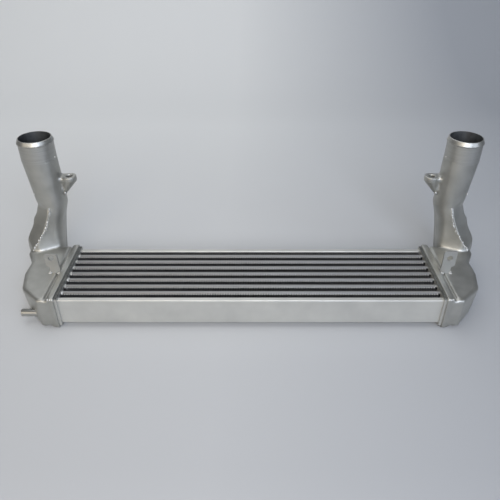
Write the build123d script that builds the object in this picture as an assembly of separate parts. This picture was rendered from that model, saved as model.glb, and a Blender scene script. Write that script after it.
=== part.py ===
"""Charge-air cooler: flat-tube and fin core between two cast end tanks with upright hose necks.

Millimetres, +X along the core, +Z up, Y = 0 midway between the front flange and the neck beads.
"""
import os
from math import acos, sin, tan
from build123d import *

# core
core_length = 600.0
core_depth = 45.0
core_width = 146.0
tube_count = 7
tube_height = 8.0
tube_wall, tube_corner = 0.9, 1.8
bar_depth = 8.6
fin_height = (core_width - 2 * bar_depth - tube_count * tube_height) / (tube_count + 1)
fin_recess = 1.0
fin_pitch = 16.0
fin_rise = 0.5
fin_end_gap = 0.8
braze_gap = 0.02
bar_wall = 1.6
bar_edge_radius = 1.5
inner_fin_pitch = 5.5
inner_fin_rise = 0.45

# header plates
header_thickness = 4.0
header_width = core_width + 6.0
header_height = core_depth + 9.0
header_corner = 3.0
slot_clearance = 0.05
tube_stand_out = 1.5

# end tanks
wall = 4.0
flange_width = core_width + 12.0
flange_height = core_depth + 15.0
flange_corner = 5.0
tank_draft = 4.0
foot_thickness = 12.0
lip_thickness, lip_stand = 6.0, 0.8
foot_chamfer = 2.5
valley_depth = 3.5
valley_width = 4.0
tank_inset = 3.0
tank_bottom = tank_inset
tank_top = flange_height - tank_inset
tank_front = lip_stand - flange_width / 2
tank_rear = flange_width / 2
tank_edge, side_edge_ratio = 4.5, 1.5
mouth_width, throat_height = core_width - 10.0, core_depth - 5.0

# tank outline: outwards from the core's end, and back from the core's mid line
nose_out, nose_radius = 30.0, 6.0
shoulder_out, shoulder_back, shoulder_radius = 64.0, -46.0, 26.0
side_out, side_back = 74.0, -5.0
swell_out, swell_back, swell_end = 89.0, 27.0, 56.0

# neck: five-sided duct rising from the tank's rear corner, then a round pipe
duct_rear, duct_floor, knee_level = 129.0, 5.0, 131.0
duct_steps, ridge_radius = 5, 2.5
# each of these at the duct's foot, half way up it and where it meets the knee
duct_inner = (46.0, 37.0, 22.5)
duct_front = (84.0, 79.3, 85.0)
ridge_out = (80.0, 79.7, 54.5)
ridge_back = (66.0, 57.5, 73.0)
duct_side_out = (90.0, 95.0, 79.0)
duct_side_back = (84.0, 77.0, 90.0)
duct_corner = (14.0, 14.5, 22.0)
knee_out, knee_radius = 45.0, 25.2
pipe_out, pipe_back = 50.5, 103.0
pipe_outer_radius, pipe_wall = 28.5, 3.5
pipe_top, seat_from, seat_turning = 250.0, 215.0, 0.3
bead_radius, bead_width = 29.3, 5.0

# fixing lug on the neck
lug_out, lug_level = 7.5, 177.0
lug_radius, lug_hole_radius, lug_thickness = 12.0, 5.5, 8.0
gusset_drop, gusset_thickness = 25.0, 11.0

# welded fixing tabs
tab_sheet, tab_back, tab_corner = 3.0, -5.0, 3.0
tab_from, tab_to, tab_neck_to = 13.0, 34.0, 29.0
tab_notch_level = tank_top + 15.0
tab_hole_out, tab_hole_level, tab_hole_radius = 23.5, 86.3, 4.75
tab_top_left, tab_top_right = 93.5, 99.0

# drain nipple, left tank
nipple_radius, nipple_bore_radius = 6.25, 3.5
nipple_back, nipple_level = -60.0, 18.0
nipple_root_out, nipple_end_out = 31.0, 66.5

ON_BASE = (Align.CENTER, Align.CENTER, Align.MIN)
UNDER = (Align.CENTER, Align.CENTER, Align.MAX)

half_core = core_length / 2
core_bottom = (flange_height - core_depth) / 2
mid_level = flange_height / 2
pitch = tube_height + fin_height
foot_outer = half_core + header_thickness + foot_thickness
row_shift = (pipe_back + bead_radius - flange_width / 2) / 2


def zigzag_points(length, height, step):
    """Centre line of a folded strip, symmetric about the middle of its length."""
    count = 2 * round(length / step)
    half = length / count
    return [(-length / 2 + i * half, height / 2 * (1 if i % 2 else -1)) for i in range(count + 1)]


def folded_strip(length, height, step, rise):
    """Closed outline of a folded strip; rise is the sheet measured square to the length."""
    lower = [(x, y - rise / 2) for x, y in zigzag_points(length, height - rise, step)]
    upper = [(x, y + rise) for x, y in lower]
    return make_face(Polyline(*(lower + upper[::-1]), close=True))


def fin_row(index):
    """Corrugated air fin between two tubes, folds touching both of them."""
    at = (index - tube_count / 2) * pitch
    height = fin_height - 2 * braze_gap
    strip = folded_strip(core_length - 2 * fin_end_gap, height, fin_pitch, fin_rise)
    depth = core_depth - 2 * fin_recess
    return Pos(0, at, core_bottom + fin_recess) * extrude(strip, depth)


def flat_oval(height, depth):
    """Outline of a flat tube with eased corners."""
    outline = Rectangle(height, depth)
    return chamfer(outline.vertices(), tube_corner)


def tube(index):
    """Flat tube passing through both header plates."""
    at = (index - (tube_count - 1) / 2) * pitch
    length = core_length + 2 * (header_thickness + tube_stand_out)
    section = flat_oval(tube_height, core_depth)
    section -= flat_oval(tube_height - 2 * tube_wall, core_depth - 2 * tube_wall)
    body = extrude(Plane.YZ * section, length / 2, both=True)
    return Pos(0, at, mid_level) * body


def turbulator(index):
    """Wavy inner fin that fills a tube."""
    at = (index - (tube_count - 1) / 2) * pitch
    height = tube_height - 2 * tube_wall - 2 * braze_gap
    width = core_depth - 2 * tube_wall - 5.0
    strip = Plane.YZ * Rot(0, 0, 90) * folded_strip(width, height, inner_fin_pitch, inner_fin_rise)
    return Pos(0, at, mid_level) * extrude(strip, core_length / 2, both=True)


def side_bar(side):
    """Extruded hollow bar that closes the core at its front (-1) or rear (1)."""
    at = side * (core_width - bar_depth) / 2
    depth = bar_depth - braze_gap
    section = RectangleRounded(depth, core_depth, bar_edge_radius)
    bore = Rectangle(depth - 2 * bar_wall, core_depth - 2 * bar_wall)
    return Pos(0, at, mid_level) * extrude(Plane.YZ * (section - bore), half_core, both=True)


def header_plate(side):
    """Plate slotted for the tubes, its edge standing proud of the core all round."""
    slot = flat_oval(tube_height + 2 * slot_clearance, core_depth + 2 * slot_clearance)
    face = RectangleRounded(header_width, header_height, header_corner)
    for i in range(tube_count):
        face -= Pos((i - (tube_count - 1) / 2) * pitch, 0) * slot
    solid = extrude(Plane.YZ * face, header_thickness)
    start = half_core if side > 0 else -half_core - header_thickness
    return Pos(start, 0, mid_level) * solid


def tank_outline(draft=0.0, ease=0.0):
    """Plan of the right-hand tank body; draft pulls in the outer walls, ease pulls in every side."""
    near = half_core + header_thickness + lip_thickness
    side_x = half_core + side_out - draft - side_edge_ratio * ease
    swell_x = half_core + swell_out - draft - side_edge_ratio * ease
    corners = [
        (near, tank_front + ease),
        (half_core + nose_out - ease / 2, tank_front + ease),
        (half_core + shoulder_out - draft - side_edge_ratio * ease, shoulder_back + draft / 2 + ease / 2),
        (side_x, side_back),
        (side_x, swell_back),
        (swell_x, swell_end),
        (swell_x, tank_rear - ease),
        (near, tank_rear - ease),
    ]
    radii = [0.5, nose_radius, shoulder_radius, shoulder_radius, 12.0, 12.0, 2.0, 0.5]
    return corners, radii


def rounded_wire(corners, radii, level):
    """Closed level wire of straight sides and tangent corner arcs, starting after the first corner."""
    count = len(corners)
    points = [Vector(x, y, level) for x, y in corners]
    edges, ends = [], []
    for i in range(count):
        here, before, after = points[i], points[i - 1], points[(i + 1) % count]
        to_before, to_after = (before - here).normalized(), (after - here).normalized()
        half_angle = acos(max(-1.0, min(1.0, to_before.dot(to_after)))) / 2
        reach = radii[i] / tan(half_angle)
        centre = here + (to_before + to_after).normalized() * (radii[i] / sin(half_angle))
        middle = centre + (here - centre).normalized() * radii[i]
        ends.append((here + to_before * reach, middle, here + to_after * reach))
    for i in range(count):
        start, middle, end = ends[i]
        edges.append(Edge.make_three_point_arc(start, middle, end))
        edges.append(Edge.make_line(end, ends[(i + 1) % count][0]))
    return Wire(edges)


def shaped(sizes, along):
    """A size that runs smoothly through its foot, half-way and knee values; along goes from 0 to 1."""
    foot, half_way, knee = sizes
    rise, bow = knee - foot, 4 * half_way - 2 * foot - 2 * knee
    return foot + rise * along + bow * along * (1 - along)


def duct_section(along, inset):
    """Duct section: inner wall, front wall up to the ridge, slanting face, outer wall, rear wall."""
    k = inset
    inner = half_core + shaped(duct_inner, along) + k
    side = half_core + shaped(duct_side_out, along) - k
    corners = [
        (inner, duct_rear - k),
        (inner, shaped(duct_front, along) + k),
        (half_core + shaped(ridge_out, along) - 0.2 * k, shaped(ridge_back, along) + 1.3 * k),
        (side, shaped(duct_side_back, along) + 0.4 * k),
        (side, duct_rear - k),
    ]
    soft = shaped(duct_corner, along)
    radii = [soft - k, soft - k, ridge_radius, soft / 2, soft - k]
    return rounded_wire(corners, radii, duct_floor + along * (knee_level - duct_floor))


def round_section(along, inset):
    """Circle of the pipe, from knee (0) to hose seat (1), as arcs that line up with the duct's sides."""
    x = half_core + knee_out + (pipe_out - knee_out) * along
    y = pipe_back
    r = knee_radius + (pipe_outer_radius - seat_turning - knee_radius) * along - inset
    corners = [
        (x - r, y + r),
        (x - r, y - 0.734 * r),
        (x + 0.19 * r, y - 1.108 * r),
        (x + r, y - 0.5 * r),
        (x + r, y + r),
    ]
    return rounded_wire(corners, [0.985 * r] * 5, knee_level + (seat_from - knee_level) * along)


def neck(inset):
    """Neck from the tank's rear corner through the knee to the hose seat, shrunk by inset."""
    lowest = inset / (knee_level - duct_floor)
    below_knee = [duct_section(max(i / duct_steps, lowest), inset) for i in range(duct_steps)]
    above_knee = [round_section(0, inset), round_section(1, inset)]
    return Solid.make_loft(below_knee + above_knee, ruled=True)


def tank_foot():
    """Flange that meets the header plate: a lip, and behind it a band rounded off into a valley."""
    lip = extrude(Plane.YZ * RectangleRounded(flange_width, flange_height, flange_corner), lip_thickness)
    face = Plane.YZ * RectangleRounded(flange_width - lip_stand, flange_height, flange_corner)
    band = extrude(face, foot_thickness)
    rim = band.faces().sort_by(Axis.X)[-1].edges()
    band = Pos(0, lip_stand / 2, 0) * chamfer(rim, foot_chamfer)
    return Pos(half_core + header_thickness, 0, mid_level) * (lip + band)


def tank_body():
    """Tank body with drafted outer walls and softened top and bottom edges."""
    e = tank_edge
    levels = [
        rounded_wire(*tank_outline(tank_draft, e), tank_bottom),
        rounded_wire(*tank_outline(tank_draft, 0.3 * e), tank_bottom + 0.3 * e),
        rounded_wire(*tank_outline(tank_draft), tank_bottom + e),
        rounded_wire(*tank_outline(), tank_top - e),
        rounded_wire(*tank_outline(0, 0.3 * e), tank_top - 0.3 * e),
        rounded_wire(*tank_outline(0, e), tank_top),
    ]
    return Solid.make_loft(levels, ruled=True) - valley_cut()


def valley_cut():
    """Groove between the flange and the tank body, along the top, bottom and rear."""
    mid = foot_outer + valley_width / 2
    outer = Plane.YZ * Rectangle(2 * flange_width, 2 * flange_height)
    inner = Plane.YZ * Rectangle(flange_width, tank_top - tank_bottom - 2 * valley_depth)
    ring = extrude(outer - inner, valley_width / 2, both=True)
    return Pos(mid, -valley_depth, mid_level) * ring


def tank_hollow():
    """Air space inside the tank body, open to the header plate."""
    plan = make_face(rounded_wire(*tank_outline(tank_draft), tank_bottom + wall))
    beyond = Rectangle(swell_out, 2 * tank_rear, align=(Align.MIN, Align.CENTER))
    beyond = Pos(foot_outer + valley_width + wall, 0, tank_bottom + wall) * beyond
    plan = offset(plan, amount=-wall) & beyond
    space = extrude(plan, tank_top - tank_bottom - 2 * wall)
    mouth = Plane.YZ * RectangleRounded(mouth_width, tank_top - tank_bottom - 2 * wall, 3)
    throat = Plane.YZ * RectangleRounded(mouth_width, throat_height, 3)
    passage = extrude(mouth, foot_thickness / 2) + extrude(throat, foot_thickness + valley_width + wall)
    return space + Pos(half_core + header_thickness, 0, mid_level) * passage


def hose_seat():
    """Straight end of the neck with a rolled bead at its rim."""
    seat = Pos(0, 0, seat_from) * Cylinder(pipe_outer_radius, pipe_top - seat_from, align=ON_BASE)
    bead = Pos(0, 0, pipe_top - bead_width) * Cylinder(bead_radius, bead_width, align=ON_BASE)
    bead = chamfer(bead.edges(), bead_radius - pipe_outer_radius)
    return Pos(half_core + pipe_out, pipe_back, 0) * (seat + bead)


def seat_bore():
    length = pipe_top - seat_from
    bore = Pos(0, 0, seat_from) * Cylinder(pipe_outer_radius - pipe_wall, length, align=ON_BASE)
    return Pos(half_core + pipe_out, pipe_back, 0) * bore


def lug():
    """Drilled ear on the neck's inner side with a gusset under it."""
    x, low = half_core + lug_out, lug_level - lug_thickness / 2
    reach = knee_out - lug_out
    boss = Pos(x, pipe_back, low) * Cylinder(lug_radius, lug_thickness, align=ON_BASE)
    arm = Pos(x + reach / 2, pipe_back, low) * Box(reach, 2 * lug_radius - 4, lug_thickness, align=ON_BASE)
    gusset = Plane.XZ * make_face(
        Polyline(
            (x - lug_radius + 0.5, low + 1),
            (x + reach, low + 1),
            (x + reach, low - gusset_drop),
            (x + lug_radius - 2, low - gusset_drop),
            close=True,
        )
    )
    gusset = Pos(0, pipe_back, 0) * extrude(gusset, gusset_thickness / 2, both=True)
    return boss + arm + gusset


def lug_hole():
    top = lug_level + lug_thickness / 2
    hole = Cylinder(lug_hole_radius, lug_thickness + gusset_drop, align=UNDER)
    return Pos(half_core + lug_out, pipe_back, top) * hole


def end_tank():
    """Right-hand end tank, cast in one with its neck and lug."""
    outside = tank_body() + tank_foot() + neck(0) + hose_seat() + lug()
    inside = tank_hollow() + neck(pipe_wall) + seat_bore()
    return outside - inside - lug_hole()


def nipple():
    """Drain nipple pointing away from the left tank's front corner."""
    start = -half_core - nipple_root_out
    length = nipple_end_out - nipple_root_out
    axis = Plane(origin=(start, nipple_back, nipple_level), z_dir=(-1, 0, 0))
    stub = Cylinder(nipple_radius, length, align=ON_BASE)
    stub = chamfer(stub.faces().sort_by(Axis.Z)[-1].edges(), 1.2)
    return axis * (stub - Cylinder(nipple_bore_radius, length, align=ON_BASE))


def nipple_hole():
    axis = Plane(origin=(-half_core - nipple_end_out, nipple_back, nipple_level), z_dir=(-1, 0, 0))
    return axis * Cylinder(nipple_radius + braze_gap, nipple_end_out - nipple_root_out + 1, align=UNDER)


def fixing_tab(top):
    """Sheet plate standing on the right-hand tank, with a hole near its top."""
    foot = tank_top + braze_gap
    plate = Plane.XZ * make_face(
        Polyline(
            (half_core + tab_from, flange_height + braze_gap),
            (half_core + tab_from, top),
            (half_core + tab_to, top),
            (half_core + tab_to, tab_notch_level),
            (half_core + tab_neck_to, tab_notch_level - 3),
            (half_core + tab_neck_to, foot),
            (foot_outer + braze_gap, foot),
            (foot_outer + braze_gap, flange_height + braze_gap),
            close=True,
        )
    )
    plate = extrude(plate, tab_sheet / 2, both=True)
    uprights = plate.edges().filter_by(Axis.Y)
    plate = fillet(uprights.filter_by(lambda e: e.center().Z > top - 1), tab_corner)
    hole = Pos(half_core + tab_hole_out, 0, tab_hole_level) * Rot(90, 0, 0) * Cylinder(tab_hole_radius, 10)
    return Pos(0, tab_back, 0) * (plate - hole)


def save(name, solid):
    export_step(Pos(0, -row_shift, 0) * solid, f"parts/{name}.step")


def main():
    os.makedirs("parts", exist_ok=True)
    for i in range(tube_count + 1):
        save(f"fin_row_{i + 1}", fin_row(i))
    for i in range(tube_count):
        save(f"tube_{i + 1}", tube(i))
        save(f"turbulator_{i + 1}", turbulator(i))
    save("side_bar_front", side_bar(-1))
    save("side_bar_rear", side_bar(1))
    save("header_plate_left", header_plate(-1))
    save("header_plate_right", header_plate(1))
    tank = end_tank()
    save("end_tank_right", tank)
    save("end_tank_left", mirror(tank, Plane.YZ) - nipple_hole())
    save("drain_nipple", nipple())
    save("fixing_tab_right", fixing_tab(tab_top_right))
    save("fixing_tab_left", mirror(fixing_tab(tab_top_left), Plane.YZ))


if __name__ == "__main__":
    main()
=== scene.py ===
import random
from math import pi, radians, sin

import bmesh
import bpy
from mathutils import Matrix, Vector


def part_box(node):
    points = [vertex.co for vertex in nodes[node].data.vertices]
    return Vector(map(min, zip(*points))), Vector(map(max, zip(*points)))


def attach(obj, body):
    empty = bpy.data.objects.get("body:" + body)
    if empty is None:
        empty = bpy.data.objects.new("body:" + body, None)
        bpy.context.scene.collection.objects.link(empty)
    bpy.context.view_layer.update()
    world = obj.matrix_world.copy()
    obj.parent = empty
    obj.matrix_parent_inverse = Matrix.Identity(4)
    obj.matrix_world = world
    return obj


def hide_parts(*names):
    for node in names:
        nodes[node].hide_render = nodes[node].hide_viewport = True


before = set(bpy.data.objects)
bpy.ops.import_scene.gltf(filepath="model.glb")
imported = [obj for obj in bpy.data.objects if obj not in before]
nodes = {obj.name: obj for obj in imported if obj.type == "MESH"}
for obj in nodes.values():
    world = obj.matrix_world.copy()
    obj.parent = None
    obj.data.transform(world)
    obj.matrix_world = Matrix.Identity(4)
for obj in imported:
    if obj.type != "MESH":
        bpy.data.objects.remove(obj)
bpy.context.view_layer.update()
mm = 0.001

sides = {"left": -1, "right": 1}
fin_rows = [f"fin_row_{i}" for i in range(1, 9)]
tubes = [f"tube_{i}" for i in range(1, 8)]
turbulators = [f"turbulator_{i}" for i in range(1, 8)]

# the core, read from the frame
core_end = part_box("header_plate_right")[0].x
core_middle = (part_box("tube_4")[0].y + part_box("tube_4")[1].y) / 2
core_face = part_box("tube_4")[1].z
core_level = (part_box("tube_4")[0].z + core_face) / 2

# folded fin strip
fin_fold = 4.0 * mm          # one full wave
fin_sheet = 0.25 * mm
fin_slope = 0.3              # how far each wall leans, as a share of a quarter wave
fin_bend = 0.55              # how far each bend is rounded, likewise
fin_seam = 0.01 * mm         # waves that end this close are one strip
fillet_radius, fillet_inset, fillet_sunk = 1.5 * mm, 0.7 * mm, 0.1 * mm

# The sizes from here to the weld metal are in millimetres. A place is given as out, outwards from the core's
# end, back, backwards from its middle line, and level, upwards from the floor. A fade is given by where it
# starts and where it is full.

# end tank
wall = 3.6                   # of the neck, which moves with its outer face
cast_voxel = 1.3
weld_up = 0.005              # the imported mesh's corners are joined up to this distance

# pipe, hose seat and lug
pipe_out, pipe_back = 50.5, 103.0
seat_from, seat_radius, bore_radius = 215.0, 28.2, 25.0
seat_overlap, cast_below_seat = 3.0, 0.2
bead_from, bead_radius, rim_level = 242.0, 29.3, 250.0
bore_skin, bore_from = 0.6, 100.0        # faces this near the bore, from this level up, are its lining
lug_out, lug_level, lug_hole_radius = 7.5, 177.0, 5.5
boss_radius, boss_foot_radii = 11.6, (2.0, 4.5)
boss_top, boss_foot = lug_level - 5, 153.0
boss_lean_out, boss_lean_back = 10.0, -3.0

# neck: which part of the casting it is, and the flank that turns away from its front face, as rows of level,
# then how far the flank lies along its facing
neck_level, neck_back = 40.0, 28.0
flank_facing = Vector((0.59, -0.807))
flank_levels, flank_out = (57.5, 152.0), 30.0
flank_lies = ((57.0, 4.0), (62.0, 0.0), (80.0, -12.5), (98.6, -22.9), (118.0, -31.0), (131.0, -35.4),
              (152.0, -24.5))

# neck: its outer side is drawn in most at mid height, and less towards the core
drawn_in = 8.0
drawn_in_out, drawn_in_from_foot, drawn_in_from_head = (50, 84), (66, 96), (138, 112)

# neck: its front face flares out towards the foot, and the flare fades off the face and past its sides
front_facing, front_offset = Vector((-0.6, -0.8)), -94.4
flare = 9.0
flare_downwards, flare_off_tank, flare_from_side = (102, 57), (40, 50), (86, 70)
flare_from_ahead, flare_from_behind = (26, 0), (-16, -8)

# where the casting is softest, as two corners of a box, then how many times it is smoothed
neck_foot = (24, 30, 50), (80, 94, 68), 14
tank_top_by_flange = (6, -76, 45), (17, 72, 60), 24
lug_arm = (13, 84, 150), (30, 99, 184), 60
duct_head = (38, 66, 124), (80, 104, 156), 10
tank_front_corner = (12, -84, 46), (64, -70, 60), 14
duct_back, duct_levels, duct_smoothing, skin_smoothing = 38, (48, 140), 8, 2

# weld metal: the seam down the neck's ridge, as rows of level, then out; and single spots, as out, back,
# level and radius
seam_out = ((59.0, 79.5), (80.0, 64.5), (98.6, 52.0), (118.0, 45.5), (131.0, 43.0))
seam_levels, seam_wander, seam_sunk = (59.0, 132.0), 0.7, 0.7
seam_radius, seam_flat, seam_step = (1.0, 2.0), (1.2, 2.4), (2.0, 6.0)
tab_welds = ((15, -7.6, 57.4, 2.3), (17.5, -7.4, 57.0, 1.7), (29, -7.4, 57.0, 2.0), (31.5, -7.3, 57.2, 1.6),
             (14, -2.6, 57.2, 2.2), (31, -2.7, 57.0, 2.0))
flange_welds = ((12.5, -76.6, 57.0, 1.9), (8.5, -77.2, 57.2, 1.6))
lug_welds = ((17.5, 96.0, 152.0, 1.7),)
casting_nubs = ((22.6, 98.8, 216.8, 1.3), (63.2, 78.0, 159.3, 1.3))
braze_size = {"left": 2.5, "right": 1.2}
braze_out, braze_wander, braze_pair, braze_sunk = -1.4, (-0.6, 0.4), (-1.6, 1.4), 0.7

# floor, in metres
backdrop_half_width, backdrop_near = 3.2, -3.2
sweep_from, sweep_radius, backdrop_rise = 0.95, 1.2, 1.5
# the backdrop's painted shade starts and ends changing between these, across and away
paper_across, paper_away = (-0.05, 0.8), (-0.35, 0.8)    # where its colour starts and ends changing


def place(side, out, back, level):
    """A point in millimetres: outwards from the core's end, back from its middle line, and up."""
    return Vector((sides[side] * (core_end + out * mm), core_middle + back * mm, level * mm))


# ---------------------------------------------------------------- materials

def linear(colour):
    """An sRGB hex colour as the linear RGBA that a shader takes."""
    parts = [int(colour[i:i + 2], 16) / 255 for i in (1, 3, 5)]
    return [c / 12.92 if c <= 0.04045 else ((c + 0.055) / 1.055) ** 2.4 for c in parts] + [1.0]


def feed(tree, node, inputs):
    """Set a node's sockets; inputs maps each one to a value or to the socket that feeds it."""
    for socket, value in inputs.items():
        if isinstance(value, bpy.types.NodeSocket):
            tree.links.new(value, node.inputs[socket])
        else:
            node.inputs[socket].default_value = value


def add_node(tree, kind, inputs=None, **settings):
    """Add one node with its settings, and feed it."""
    node = tree.nodes.new("ShaderNode" + kind)
    for name, value in settings.items():
        setattr(node, name, value)
    feed(tree, node, inputs or {})
    return node


def new_material(name, metallic, roughness):
    """A material with its Principled shader, and the Object coordinates its patterns are laid out on."""
    material = bpy.data.materials.new(name)
    material.use_nodes = True
    tree = material.node_tree
    shader = tree.nodes["Principled BSDF"]
    feed(tree, shader, {"Metallic": metallic, "Roughness": roughness})
    point = add_node(tree, "TexCoord").outputs["Object"]
    return material, tree, shader, point


def drawn_lines(tree, point, lengths, detail):
    """A pattern of fine random lines, from how far they run along each axis."""
    laid = add_node(tree, "Mapping", {"Vector": point, "Scale": tuple(1 / length for length in lengths)})
    lines = add_node(tree, "TexNoise", {"Vector": laid.outputs["Vector"], "Scale": 1.0, "Detail": detail})
    return lines.outputs["Fac"]


def tint(tree, pattern, low, high, dark, light):
    """Two colours, changing over as the pattern goes from low to high."""
    ramp = add_node(tree, "ValToRGB", {"Fac": pattern})
    ramp.color_ramp.elements[0].position, ramp.color_ramp.elements[0].color = low, linear(dark)
    ramp.color_ramp.elements[1].position, ramp.color_ramp.elements[1].color = high, linear(light)
    return ramp.outputs["Color"]


def shaded_deep(tree, point, colour, depth):
    """Painted shade: the colour, sinking to near black as a surface lies deeper inside either face of the
    core.
    """
    height = add_node(tree, "SeparateXYZ", {"Vector": point}).outputs["Z"]
    off_middle = add_node(tree, "Math", {0: height, 1: core_level}, operation="SUBTRACT").outputs[0]
    away = add_node(tree, "Math", {0: off_middle}, operation="ABSOLUTE").outputs[0]
    half = core_face - core_level
    near_face = add_node(tree, "MapRange", {"Value": away, "From Min": half - depth, "From Max": half})
    mix = add_node(tree, "Mix", {"Factor": near_face.outputs["Result"], "A": linear("#0c0d0e"), "B": colour},
                   data_type="RGBA")
    return mix.outputs["Result"]


def sand_cast_aluminium():
    """Aluminium cast in a sand mould and lacquered: an even, faintly pebbled skin with broad highlights."""
    material, tree, shader, point = new_material("sand_cast_aluminium", 0.85, 0.4)
    grit = add_node(tree, "TexNoise", {"Vector": point, "Scale": 1 / (1.6 * mm), "Detail": 3.0})
    swell = add_node(tree, "TexNoise", {"Vector": point, "Scale": 1 / (30 * mm), "Detail": 2.0})
    sheen = add_node(tree, "MapRange", {"Value": grit.outputs["Fac"], "To Min": 0.35, "To Max": 0.46})
    bump = add_node(tree, "Bump", {"Height": grit.outputs["Fac"], "Strength": 0.12, "Distance": 0.3 * mm})
    feed(tree, shader, {"Base Color": tint(tree, swell.outputs["Fac"], 0.35, 0.7, "#a3a39e", "#b4b4af"),
                        "Roughness": sheen.outputs["Result"], "Normal": bump.outputs["Normal"]})
    return material


def rolled_aluminium_sheet(name, dark, light):
    """Rolled aluminium sheet as it leaves the mill: satin, with fine lines along the rolling direction."""
    material, tree, shader, point = new_material(name, 0.7, 0.42)
    lines = drawn_lines(tree, point, (60 * mm, 0.8 * mm, 0.8 * mm), 4.0)
    cloud = add_node(tree, "TexNoise", {"Vector": point, "Scale": 1 / (45 * mm), "Detail": 3.0})
    sheen = add_node(tree, "MapRange", {"Value": lines, "To Min": 0.36, "To Max": 0.5})
    bump = add_node(tree, "Bump", {"Height": lines, "Strength": 0.15, "Distance": 0.1 * mm})
    feed(tree, shader, {"Base Color": tint(tree, cloud.outputs["Fac"], 0.3, 0.7, dark, light),
                        "Roughness": sheen.outputs["Result"], "Normal": bump.outputs["Normal"]})
    return material


def dark_topped_sheet():
    """The header plates' sheet: bright at its foot, darker and mottled along its top."""
    material, tree, shader, point = new_material("dark_topped_sheet", 0.6, 0.5)
    top_mottle = add_node(tree, "TexNoise", {"Vector": point, "Scale": 1 / (3 * mm), "Detail": 3.0})
    height = add_node(tree, "SeparateXYZ", {"Vector": point}).outputs["Z"]
    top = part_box("header_plate_right")[1].z
    near_top = add_node(tree, "MapRange", {"Value": height, "From Min": top - 3.0 * mm,
                                           "From Max": top - 0.6 * mm})
    top_colour = tint(tree, top_mottle.outputs["Fac"], 0.35, 0.65, "#444543", "#7f807d")
    mix = add_node(tree, "Mix", {"Factor": near_top.outputs["Result"], "A": linear("#b4b4b0"), "B": top_colour},
                   data_type="RGBA")
    feed(tree, shader, {"Base Color": mix.outputs["Result"]})
    return material


def extruded_aluminium_tube():
    """Extruded flat tube: bright edges with faint draw lines, and painted shade that darkens its sides deeper
    between the fins.
    """
    material, tree, shader, point = new_material("extruded_aluminium_tube", 0.6, 0.38)
    lines = drawn_lines(tree, point, (90 * mm, 0.6 * mm, 0.6 * mm), 2.0)
    shine = tint(tree, lines, 0.3, 0.7, "#8b8b8a", "#9d9d9d")
    sheen = add_node(tree, "MapRange", {"Value": lines, "To Min": 0.32, "To Max": 0.46})
    feed(tree, shader, {"Base Color": shaded_deep(tree, point, shine, 1.6 * mm),
                        "Roughness": sheen.outputs["Result"]})
    return material


def folded_fin_strip():
    """Thin clad strip folded into fins: bright along its edge, and black below with painted shade deeper in
    the core.
    """
    material, tree, shader, point = new_material("folded_fin_strip", 0.6, 0.45)
    cloud = add_node(tree, "TexNoise", {"Vector": point, "Scale": 1 / (12 * mm), "Detail": 3.0})
    shine = tint(tree, cloud.outputs["Fac"], 0.3, 0.7, "#77787a", "#939496")
    feed(tree, shader, {"Base Color": shaded_deep(tree, point, shine, 2.0 * mm)})
    return material


def turned_aluminium(name, smooth, rough):
    """Aluminium cut on a lathe: brighter than the casting, with fine rings round it."""
    material, tree, shader, point = new_material(name, 0.85, smooth)
    rings = drawn_lines(tree, point, (40 * mm, 40 * mm, 0.7 * mm), 2.0)
    sheen = add_node(tree, "MapRange", {"Value": rings, "To Min": smooth, "To Max": rough})
    feed(tree, shader, {"Base Color": tint(tree, rings, 0.3, 0.7, "#a2a29e", "#b1b1ad"),
                        "Roughness": sheen.outputs["Result"]})
    return material


def shade_dark_bore():
    """The air passage's as-cast skin: rough, and painted near black as shade inside the bore."""
    material, tree, shader, point = new_material("shade_dark_bore", 0.3, 0.6)
    bore_mottle = add_node(tree, "TexNoise", {"Vector": point, "Scale": 1 / (9 * mm), "Detail": 3.0})
    sheen = add_node(tree, "MapRange", {"Value": bore_mottle.outputs["Fac"], "To Min": 0.45, "To Max": 0.7})
    feed(tree, shader, {"Base Color": tint(tree, bore_mottle.outputs["Fac"], 0.3, 0.7, "#26282a", "#3c3f41"),
                        "Roughness": sheen.outputs["Result"]})
    return material


def weld_metal():
    """Fresh weld and braze metal: bright and smooth-skinned, with small ripples."""
    material, tree, shader, point = new_material("weld_metal", 0.75, 0.28)
    ripple = add_node(tree, "TexNoise", {"Vector": point, "Scale": 1 / (1.2 * mm), "Detail": 1.0})
    sheen = add_node(tree, "MapRange", {"Value": ripple.outputs["Fac"], "To Min": 0.2, "To Max": 0.4})
    feed(tree, shader, {"Base Color": tint(tree, ripple.outputs["Fac"], 0.35, 0.65, "#bcbcb8", "#dcdcda"),
                        "Roughness": sheen.outputs["Result"]})
    return material


def matt_backdrop():
    """Matt paper for the backdrop, with painted shade: it greys off to the right and towards the viewer."""
    material, tree, shader, point = new_material("matt_backdrop", 0.0, 0.8)
    along = add_node(tree, "SeparateXYZ", {"Vector": point})
    drift = add_node(tree, "MapRange", {"Value": along.outputs["X"], "From Min": paper_across[0],
                                        "From Max": paper_across[1]})
    away = add_node(tree, "MapRange", {"Value": along.outputs["Y"], "From Min": paper_away[0],
                                       "From Max": paper_away[1]})
    # painted shade: the paper greys off to the right and towards the viewer
    across = tint(tree, drift.outputs["Result"], 0.0, 1.0, "#f4f5f6", "#b8bcc4")
    backwards = tint(tree, away.outputs["Result"], 0.0, 1.0, "#bbbcbd", "#e9eae9")
    shade = add_node(tree, "Mix", {"Factor": 1.0, "A": across, "B": backwards}, data_type="RGBA",
                     blend_type="MULTIPLY")
    feed(tree, shader, {"Base Color": shade.outputs["Result"]})
    return material


# ---------------------------------------------------------------- pieces

def paint(piece, material):
    """Give the whole piece one finish."""
    piece.data.materials.clear()
    piece.data.materials.append(material)


def new_points(made):
    """The vertices among what a bmesh operator made."""
    return [v for v in made if isinstance(v, bmesh.types.BMVert)]


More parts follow.
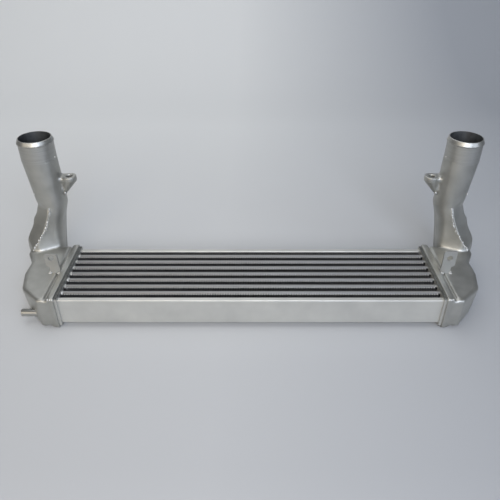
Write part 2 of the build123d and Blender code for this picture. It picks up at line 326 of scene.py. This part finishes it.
def new_piece(name, shape, material, crease=40):
    """Finish a bmesh as a named piece that stays with the cooler; edges sharper than crease stay crisp."""
    for face in shape.faces:
        face.smooth = True
    for edge in shape.edges:
        edge.smooth = not (len(edge.link_faces) == 2 and edge.calc_face_angle() > radians(crease))
    mesh = bpy.data.meshes.new(name)
    shape.to_mesh(mesh)
    shape.free()
    piece = bpy.data.objects.new(name, mesh)
    bpy.context.scene.collection.objects.link(piece)
    mesh.materials.append(material)
    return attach(piece, "root")


def repeat(piece, name, step, count):
    """Repeat a piece in equal steps."""
    row = piece.modifiers.new(name, "ARRAY")
    row.use_relative_offset, row.use_constant_offset = False, True
    row.constant_offset_displace, row.count = step, count
    return row


def give_thickness(piece):
    """Turn a fin's bare surface into sheet."""
    sheet = piece.modifiers.new("sheet", "SOLIDIFY")
    sheet.thickness, sheet.offset = fin_sheet, 0.0


def folded_fins(node, material):
    """One row of fins: a strip folded into rounded waves that reach from wall to wall of its gap."""
    low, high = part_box(node)
    shape = bmesh.new()
    near, far = low.y + fin_sheet / 2, high.y - fin_sheet / 2
    left, quarter = low.x, fin_fold / 4
    outline = [(left, near), (left + quarter * (1 - fin_slope), near),
               (left + quarter * (1 + fin_slope), far), (left + quarter * (3 - fin_slope), far),
               (left + quarter * (3 + fin_slope), near), (left + fin_fold, near)]
    corners = [shape.verts.new((x, y, low.z)) for x, y in outline]
    for a, b in zip(corners, corners[1:]):
        shape.edges.new((a, b))
    bmesh.ops.bevel(shape, geom=corners[1:-1], affect="VERTICES", offset=quarter * fin_bend, segments=2,
                    profile=0.5, material=-1)
    risen = bmesh.ops.extrude_edge_only(shape, edges=shape.edges[:])
    bmesh.ops.translate(shape, vec=(0, 0, high.z - low.z), verts=new_points(risen["geom"]))
    piece = new_piece(node.replace("row", "strip"), shape, material, crease=60)
    waves = repeat(piece, "waves", (fin_fold, 0, 0), int((high.x - low.x) / fin_fold))
    waves.use_merge_vertices, waves.merge_threshold = True, fin_seam
    give_thickness(piece)
    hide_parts(node)


def lump(shape, centre, radius, detail=2, flat=1.0):
    """Add one rounded lump of metal, a little uneven."""
    made = bmesh.ops.create_icosphere(shape, subdivisions=detail, radius=radius)
    for vert in made["verts"]:
        vert.co *= random.uniform(0.9, 1.1)
        vert.co.z *= flat
        vert.co += centre


def crest_fillets(material):
    """Braze that has crept up between each fin crest and the tube behind it, along the core's upper face."""
    random.seed(4)
    shape = bmesh.new()
    low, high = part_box("fin_row_1")
    crest = Vector((low.x + fin_fold / 2, high.y - fillet_inset, high.z - fillet_sunk))
    lump(shape, crest, fillet_radius, detail=1, flat=0.7)
    piece = new_piece("crest_fillets", shape, material)
    repeat(piece, "along", (fin_fold, 0, 0), int((high.x - low.x) / fin_fold))
    repeat(piece, "across", (0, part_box("fin_row_2")[1].y - high.y, 0), len(fin_rows))


def bent_fin_ends(material):
    """Loose ends of the fin strips that were bent up when the core was put together."""
    shape = bmesh.new()
    width, length, curl, sunk = 1.6 * mm, 6.5 * mm, 0.9 * mm, 0.6
    for side, out, back, turn in (("left", -5.5, 47.5, 35), ("left", -6.0, -41.0, 30),
                                  ("right", -3.0, 61.0, -40), ("right", -3.5, -22.5, -35)):
        made = bmesh.ops.create_grid(shape, x_segments=1, y_segments=4, size=0.5)["verts"]
        bmesh.ops.scale(shape, vec=(width, length, 1), verts=made)
        for vert in made:
            vert.co.z = curl * sin(vert.co.y / length * pi)
        bmesh.ops.rotate(shape, matrix=Matrix.Rotation(radians(turn), 3, "Z"), verts=made)
        bmesh.ops.translate(shape, vec=place(side, out, back, core_face / mm - sunk), verts=made)
    give_thickness(new_piece("bent_fin_ends", shape, material))


def soften(shape, verts, times):
    """Smooth these vertices, again and again."""
    for _ in range(times):
        bmesh.ops.smooth_vert(shape, verts=verts, factor=0.5, use_axis_x=True, use_axis_y=True,
                              use_axis_z=True)


def line_bore(piece, side, material):
    """Give the faces that line the neck's round bore, from bore_from up, their own finish, painted dark as
    shade.
    """
    piece.data.materials.append(material)
    axis = place(side, pipe_out, pipe_back, 0)
    for face in piece.data.polygons:
        off_axis = (face.center - axis).xy
        if off_axis.length < (bore_radius + bore_skin) * mm and off_axis.dot(face.normal.xy) < 0:
            face.material_index = 1 if face.center.z > bore_from * mm else 0


def lug_boss(shape, side):
    """Add the lug's boss, round its hole: it narrows downwards and leans over until it runs into the pipe."""
    centre = place(side, lug_out, pipe_back, 0)
    outline = [(radius, boss_foot) for radius in boss_foot_radii]
    outline += [(boss_radius, boss_top), (lug_hole_radius, boss_top)]
    points = [shape.verts.new(centre + Vector((radius * mm, 0, level * mm))) for radius, level in outline]
    edges = [shape.edges.new(pair) for pair in zip(points, points[1:] + points[:1])]
    before = set(shape.verts) - set(points)
    bmesh.ops.spin(shape, geom=points + edges, cent=centre, axis=(0, 0, 1), dvec=(0, 0, 0), angle=2 * pi,
                   steps=32, use_merge=True, use_duplicate=False)
    foot = [v for v in shape.verts if v not in before and v.co.z < (boss_foot + 1) * mm]
    lean = place(side, boss_lean_out, boss_lean_back, 0) - place(side, 0, 0, 0)
    bmesh.ops.translate(shape, vec=lean, verts=foot)


def share_of(value, start, end):
    """How far the value has come from start to end, from 0 to 1."""
    return min(max((value - start) / (end - start), 0), 1)


def eased(value, start, end):
    """The same share, leaving 0 and reaching 1 gently."""
    share = share_of(value, start, end)
    return share * share * (3 - 2 * share)


def read_off(table, level):
    """The value that a table of (level, value) gives at a level, on a straight line between its rows."""
    for (low, first), (high, second) in zip(table, table[1:]):
        if level <= high:
            break
    return first + (second - first) * share_of(level, low, high)


def dress_neck(cast, side):
    """Work the neck as its pattern was: a flank that turns away from the front, and a flared foot."""
    origin, way = place(side, 0, 0, 0), sides[side]
    for vert in cast.verts:
        out, back, level = (vert.co.x - origin.x) * way / mm, (vert.co.y - origin.y) / mm, vert.co.z / mm
        if level < neck_level or back < neck_back:
            continue
        out -= (drawn_in * eased(out, *drawn_in_out) * eased(level, *drawn_in_from_foot)
                * eased(level, *drawn_in_from_head))
        if flank_levels[0] < level < flank_levels[1] and out > flank_out:
            normal = Vector((vert.normal.x * way, vert.normal.y))
            limit = read_off(flank_lies, level) - (wall if normal.dot(flank_facing) < 0 else 0)
            over = flank_facing.x * out + flank_facing.y * back - limit
            if over > 0:
                out, back = out - flank_facing.x * over, back - flank_facing.y * over
        ahead = front_facing.x * out + front_facing.y * back - front_offset
        push = flare * share_of(level, *flare_downwards) ** 2 * eased(level, *flare_off_tank)
        push *= eased(out, *flare_from_side)
        push *= eased(ahead, *flare_from_ahead) * eased(ahead, *flare_from_behind)
        out, back = out + front_facing.x * push, back + front_facing.y * push
        vert.co = place(side, out, back, level)


def within(side, corner, opposite, point):
    """Whether the point lies in the box between two corners, each given as out, back and level."""
    return all(min(a, b) < c < max(a, b)
               for a, b, c in zip(place(side, *corner), place(side, *opposite), point))


def tank_mould(side, material):
    """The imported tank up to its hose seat, closed there, with the lug's boss added."""
    node = f"end_tank_{side}"
    shape = bmesh.new()
    shape.from_mesh(nodes[node].data)
    bmesh.ops.remove_doubles(shape, verts=shape.verts, dist=weld_up * mm)
    cut = bmesh.ops.bisect_plane(shape, geom=shape.verts[:] + shape.edges[:] + shape.faces[:],
                                 plane_co=(0, 0, (seat_from - cast_below_seat) * mm), plane_no=(0, 0, 1),
                                 clear_outer=True)
    rim = [e for e in cut["geom_cut"] if isinstance(e, bmesh.types.BMEdge)]
    bmesh.ops.bridge_loops(shape, edges=rim)
    lug_boss(shape, side)
    bmesh.ops.recalc_face_normals(shape, faces=shape.faces)
    return new_piece(node + "_casting", shape, material)


def cast_end_tank(side, material, bore_material):
    """The casting up to its machined hose seat, with the soft edges and corners that a sand mould leaves."""
    mould = tank_mould(side, material)
    skin = mould.modifiers.new("skin", "REMESH")
    skin.mode, skin.voxel_size = "VOXEL", cast_voxel * mm
    cast = bmesh.new()
    cast.from_object(mould, bpy.context.evaluated_depsgraph_get())
    mould.modifiers.clear()
    dress_neck(cast, side)
    for corner, opposite, times in (neck_foot, tank_top_by_flange, lug_arm, duct_head, tank_front_corner):
        soften(cast, [v for v in cast.verts if within(side, corner, opposite, v.co)], times)
    soften(cast, [v for v in cast.verts if v.co.y > core_middle + duct_back * mm
                  and duct_levels[0] * mm < v.co.z < duct_levels[1] * mm], duct_smoothing)
    soften(cast, cast.verts[:], skin_smoothing)
    for face in cast.faces:
        face.smooth = True
    cast.to_mesh(mould.data)
    cast.free()
    line_bore(mould, side, bore_material)
    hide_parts(f"end_tank_{side}")
    return mould


def turned_ring(name, outline, centre, axis, material):
    """Turn a closed outline of (radius, distance along the axis) round the axis through the centre."""
    shape = bmesh.new()
    along = Vector(axis)
    across = Vector((0, 1, 0)) if abs(along.y) < 0.5 else Vector((1, 0, 0))
    points = [shape.verts.new(Vector(centre) + across * r * mm + along * a * mm) for r, a in outline]
    for a, b in zip(points, points[1:] + points[:1]):
        shape.edges.new((a, b))
    bmesh.ops.spin(shape, geom=shape.verts[:] + shape.edges[:], cent=centre, axis=axis, dvec=(0, 0, 0),
                   angle=2 * pi, steps=96, use_merge=True, use_duplicate=False)
    bmesh.ops.recalc_face_normals(shape, faces=shape.faces)
    return new_piece(name, shape, material, crease=30)


def hose_seat(side, material, bore_material):
    """The neck's machined upper end: a straight seat, a rolled bead that holds the hose, and the mouth."""
    seat = [(bore_radius, seat_from - seat_overlap), (seat_radius, seat_from - seat_overlap),
            (seat_radius, bead_from - 0.4)]
    bead = [(bead_radius - 0.5, bead_from), (bead_radius, bead_from + 0.7), (bead_radius, bead_from + 1.6),
            (bead_radius - 0.6, bead_from + 2.6)]
    mouth = [(bore_radius + 1.9, rim_level - 0.5), (bore_radius + 1.2, rim_level),
             (bore_radius + 0.4, rim_level - 0.1), (bore_radius, rim_level - 0.8)]
    piece = turned_ring(f"hose_seat_{side}", seat + bead + mouth, place(side, pipe_out, pipe_back, 0),
                        (0, 0, 1), material)
    line_bore(piece, side, bore_material)


def on_front(casting, side, out, level):
    """The point of the casting's front that lies at this distance outwards and this level."""
    from_back, missed_back = -200, 70
    found = casting.ray_cast(place(side, out, from_back, level), Vector((0, 1, 0)))
    return found[1] if found[0] else place(side, out, missed_back, level)


def weld_beads(side, material, casting):
    """Weld metal: the dressed seam down the neck's ridge, spots at tab, flange and lug, nubs on the pipe."""
    random.seed(7 if side == "left" else 11)
    shape = bmesh.new()
    sunk = Vector((0, seam_sunk * mm, 0))
    level, top = seam_levels
    while level < top:
        out = read_off(seam_out, level) + random.uniform(-seam_wander, seam_wander)
        lump(shape, on_front(casting, side, out, level) + sunk, random.uniform(*seam_radius) * mm,
             flat=random.uniform(*seam_flat))
        level += random.uniform(*seam_step)
    for out, back, level, radius in tab_welds + flange_welds + lug_welds + casting_nubs:
        lump(shape, place(side, out, back, level), radius * mm)
    new_piece(f"weld_beads_{side}", shape, material)


def braze_spots(side, material):
    """Braze metal that has pooled where each tube enters its header plate, and at the front bar's corner."""
    random.seed(3 if side == "left" else 5)
    shape = bmesh.new()
    for name in tubes + ["side_bar_front"]:
        low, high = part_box(name)
        back = ((low.y + high.y) / 2 - core_middle) / mm
        for shift in braze_pair:
            out = braze_out + random.uniform(*braze_wander)
            lump(shape, place(side, out, back + shift, high.z / mm - braze_sunk),
                 braze_size[side] * random.uniform(0.75, 1.1) * mm, flat=0.8)
    new_piece(f"braze_spots_{side}", shape, material)


def drain_nipple(material):
    """The turned drain nipple, with a rounded lip at its mouth."""
    low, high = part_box("drain_nipple")
    centre = Vector((low.x, (low.y + high.y) / 2, (low.z + high.z) / 2))
    long, radius, hole_radius = (high.x - low.x) / mm, (high.z - low.z) / 2 / mm, 3.5
    outline = [(hole_radius, 0.8), (4.0, 0.2), (4.6, 0), (radius - 0.9, 0), (radius - 0.3, 0.3),
               (radius, 1.0), (radius, long), (hole_radius, long)]
    piece = turned_ring("drain_spigot", outline, centre, (1, 0, 0), material)
    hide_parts("drain_nipple")


bar_finish = rolled_aluminium_sheet("mill_aluminium_sheet", "#c1c1bd", "#cecec9")
tab_finish = rolled_aluminium_sheet("dull_aluminium_sheet", "#a2a3a0", "#b0b0ad")
tube_finish, fin_finish = extruded_aluminium_tube(), folded_fin_strip()
cast_finish, weld_finish = sand_cast_aluminium(), weld_metal()
seat_finish = turned_aluminium("turned_aluminium", 0.33, 0.45)
nipple_finish = turned_aluminium("smooth_turned_aluminium", 0.24, 0.34)
bore_finish, header_finish = shade_dark_bore(), dark_topped_sheet()

for name, node in nodes.items():
    if name in tubes:
        paint(node, tube_finish)
    elif name in turbulators:
        paint(node, fin_finish)
    elif "header" in name:
        paint(node, header_finish)
    elif name not in fin_rows and "tank" not in name:
        paint(node, tab_finish if "tab" in name else bar_finish)
for name in fin_rows:
    folded_fins(name, fin_finish)
crest_fillets(weld_finish)
bent_fin_ends(fin_finish)
drain_nipple(nipple_finish)
for name in sides:
    casting = cast_end_tank(name, cast_finish, bore_finish)
    bpy.context.view_layer.update()
    hose_seat(name, seat_finish, bore_finish)
    weld_beads(name, weld_finish, casting)
    braze_spots(name, weld_finish)


# ---------------------------------------------------------------- floor, light and camera

def backdrop():
    """A wide pale sheet, flat under the cooler and swept up far behind it."""
    shape = bmesh.new()
    near = shape.verts.new((-backdrop_half_width, backdrop_near, 0))
    far = shape.verts.new((-backdrop_half_width, sweep_from, 0))
    shape.edges.new((near, far))
    swept = bmesh.ops.spin(shape, geom=[far], cent=(-backdrop_half_width, sweep_from, sweep_radius),
                           axis=(1, 0, 0), dvec=(0, 0, 0), angle=pi / 2, steps=16, use_merge=False,
                           use_duplicate=False)
    risen = bmesh.ops.extrude_vert_indiv(shape, verts=new_points(swept["geom_last"]))["verts"]
    bmesh.ops.translate(shape, vec=(0, 0, backdrop_rise), verts=risen)
    across = bmesh.ops.extrude_edge_only(shape, edges=shape.edges[:])["geom"]
    bmesh.ops.translate(shape, vec=(2 * backdrop_half_width, 0, 0), verts=new_points(across))
    bmesh.ops.recalc_face_normals(shape, faces=shape.faces)
    for face in shape.faces:
        face.smooth = True
    mesh = bpy.data.meshes.new("backdrop")
    shape.to_mesh(mesh)
    shape.free()
    sheet = bpy.data.objects.new("backdrop", mesh)
    bpy.context.scene.collection.objects.link(sheet)
    mesh.materials.append(matt_backdrop())


def soft_light(name, spot, target, width, height, power, colour):
    """A soft lamp that faces the target."""
    lamp = bpy.data.lights.new(name, "AREA")
    lamp.shape, lamp.size, lamp.size_y, lamp.energy = "RECTANGLE", width, height, power
    lamp.color = linear(colour)[:3]
    stand = bpy.data.objects.new(name, lamp)
    stand.location = spot
    stand.rotation_euler = (Vector(target) - Vector(spot)).to_track_quat("-Z", "Y").to_euler()
    bpy.context.scene.collection.objects.link(stand)


def studio():
    """A dim, even room that looks pale grey past the backdrop, and six soft lamps, in metres and watts."""
    world = bpy.data.worlds.new("studio")
    bpy.context.scene.world = world
    world.use_nodes = True
    tree, room = world.node_tree, world.node_tree.nodes["Background"]
    room.inputs["Color"].default_value = linear("#d6dade")
    room.inputs["Strength"].default_value = 0.15
    seen = add_node(tree, "Background", {"Color": linear("#9fa2a6"), "Strength": 1.0})
    shown = add_node(tree, "MixShader", {0: add_node(tree, "LightPath").outputs["Is Camera Ray"],
                                         1: room.outputs[0], 2: seen.outputs[0]})
    tree.links.new(shown.outputs[0], tree.nodes["World Output"].inputs["Surface"])
    soft_light("window_light", (0.34, -1.5, 1.1), (0, 0, 0.05), 0.9, 0.9, 17, "#e2ecff")
    soft_light("room_light", (-0.36, -1.5, 1.1), (0, 0, 0.05), 0.9, 0.9, 10, "#fff0d8")
    soft_light("wide_light", (-0.2, -2.5, 1.15), (-0.1, 0, 0.7), 3.0, 1.6, 9, "#edf3ff")
    soft_light("right_window", (2.2, -1.9, 0.85), (0, 0, 0.5), 1.9, 1.6, 24, "#e2edff")
    soft_light("left_room_light", (-2.2, -1.9, 0.85), (0, 0, 0.5), 1.9, 1.6, 14, "#fff2de")
    soft_light("ceiling_light", (-0.5, 0.8, 2.6), (-0.3, 0.8, 0), 3.0, 2.6, 36, "#fbfcff")


def camera():
    """The camera in front of the cooler, looking down on it."""
    lens = bpy.data.cameras.new("camera")
    lens.sensor_width, lens.lens, lens.shift_x = 36.0, 37.44, -0.0008
    lens.clip_start = 0.01
    eye = bpy.data.objects.new("camera", lens)
    eye.location = (0.0, -0.72715, 0.5637)
    eye.rotation_euler = (radians(56.4), 0, 0)
    bpy.context.scene.collection.objects.link(eye)
    bpy.context.scene.camera = eye


backdrop()
studio()
camera()
bpy.context.scene.view_settings.view_transform = "Standard"
bpy.context.view_layer.update()
